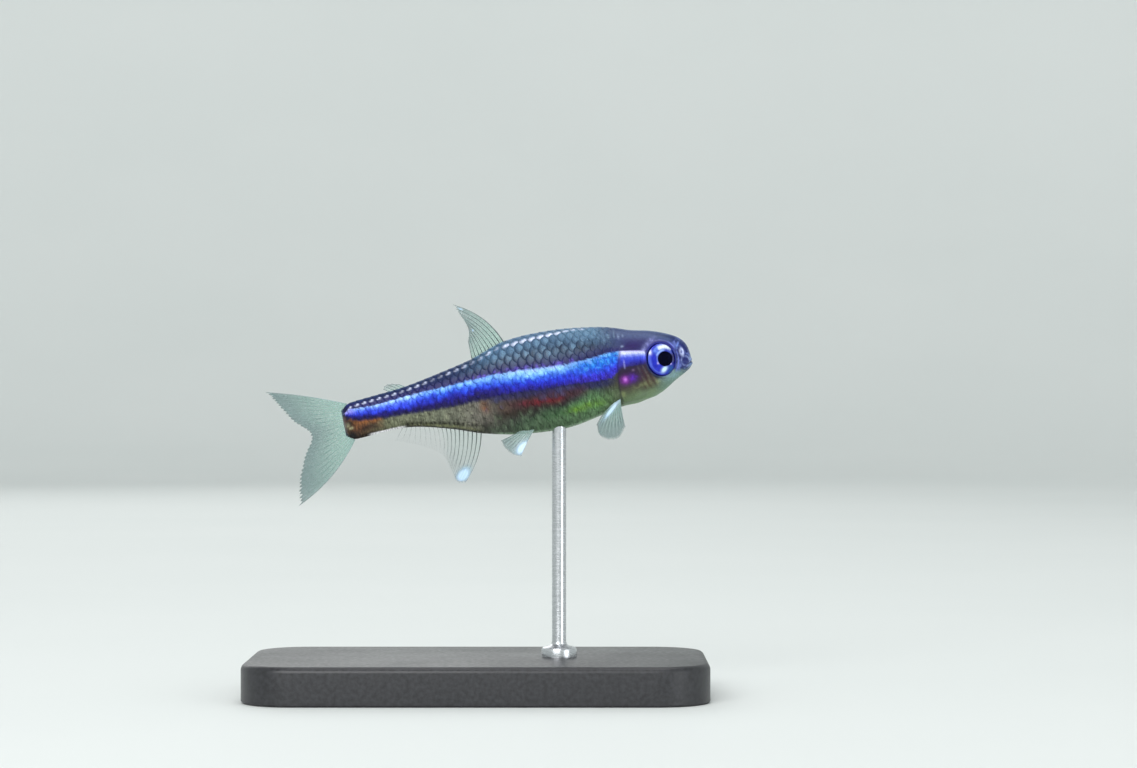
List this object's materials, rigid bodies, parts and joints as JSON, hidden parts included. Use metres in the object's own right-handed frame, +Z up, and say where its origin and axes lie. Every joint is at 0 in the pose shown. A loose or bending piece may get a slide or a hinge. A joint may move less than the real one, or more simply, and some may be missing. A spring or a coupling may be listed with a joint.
{
  "type": "freshwater fish model on a display stand",
  "caption": "Small slender freshwater fish in a nose-up swimming pose, held by a thin rod on a flat rounded base.",
  "frame": {"origin": "middle of the underside of the stand's base, on the floor", "axes": "+Z up, +X the way the fish faces and along the base's longer side, +Y to the fish's left"},
  "size_m": [0.026, 0.014, 0.0221],
  "materials": {
    "head_skin": "satin slate-blue skin",
    "flank_skin": "satin scaled skin with a blue stripe",
    "tail_skin": "satin scaled skin with a blue stripe",
    "eye": "wet gloss",
    "fin": "clear rayed membrane",
    "stand_base": "satin black",
    "stand_rod": "polished steel rod"
  },
  "bodies": {
    "root": {"head": "head_skin", "torso": "flank_skin", "tail": "tail_skin", "eye_right": "eye", "eye_left": "eye", "dorsal_fin": "fin", "adipose_fin": "fin", "anal_fin": "fin", "tail_fin": "fin", "pectoral_fin_right": "fin", "pectoral_fin_left": "fin", "pelvic_fin_right": "fin", "pelvic_fin_left": "fin", "stand_base": "stand_base", "stand_rod": "stand_rod"}
  },
  "joints": []
}
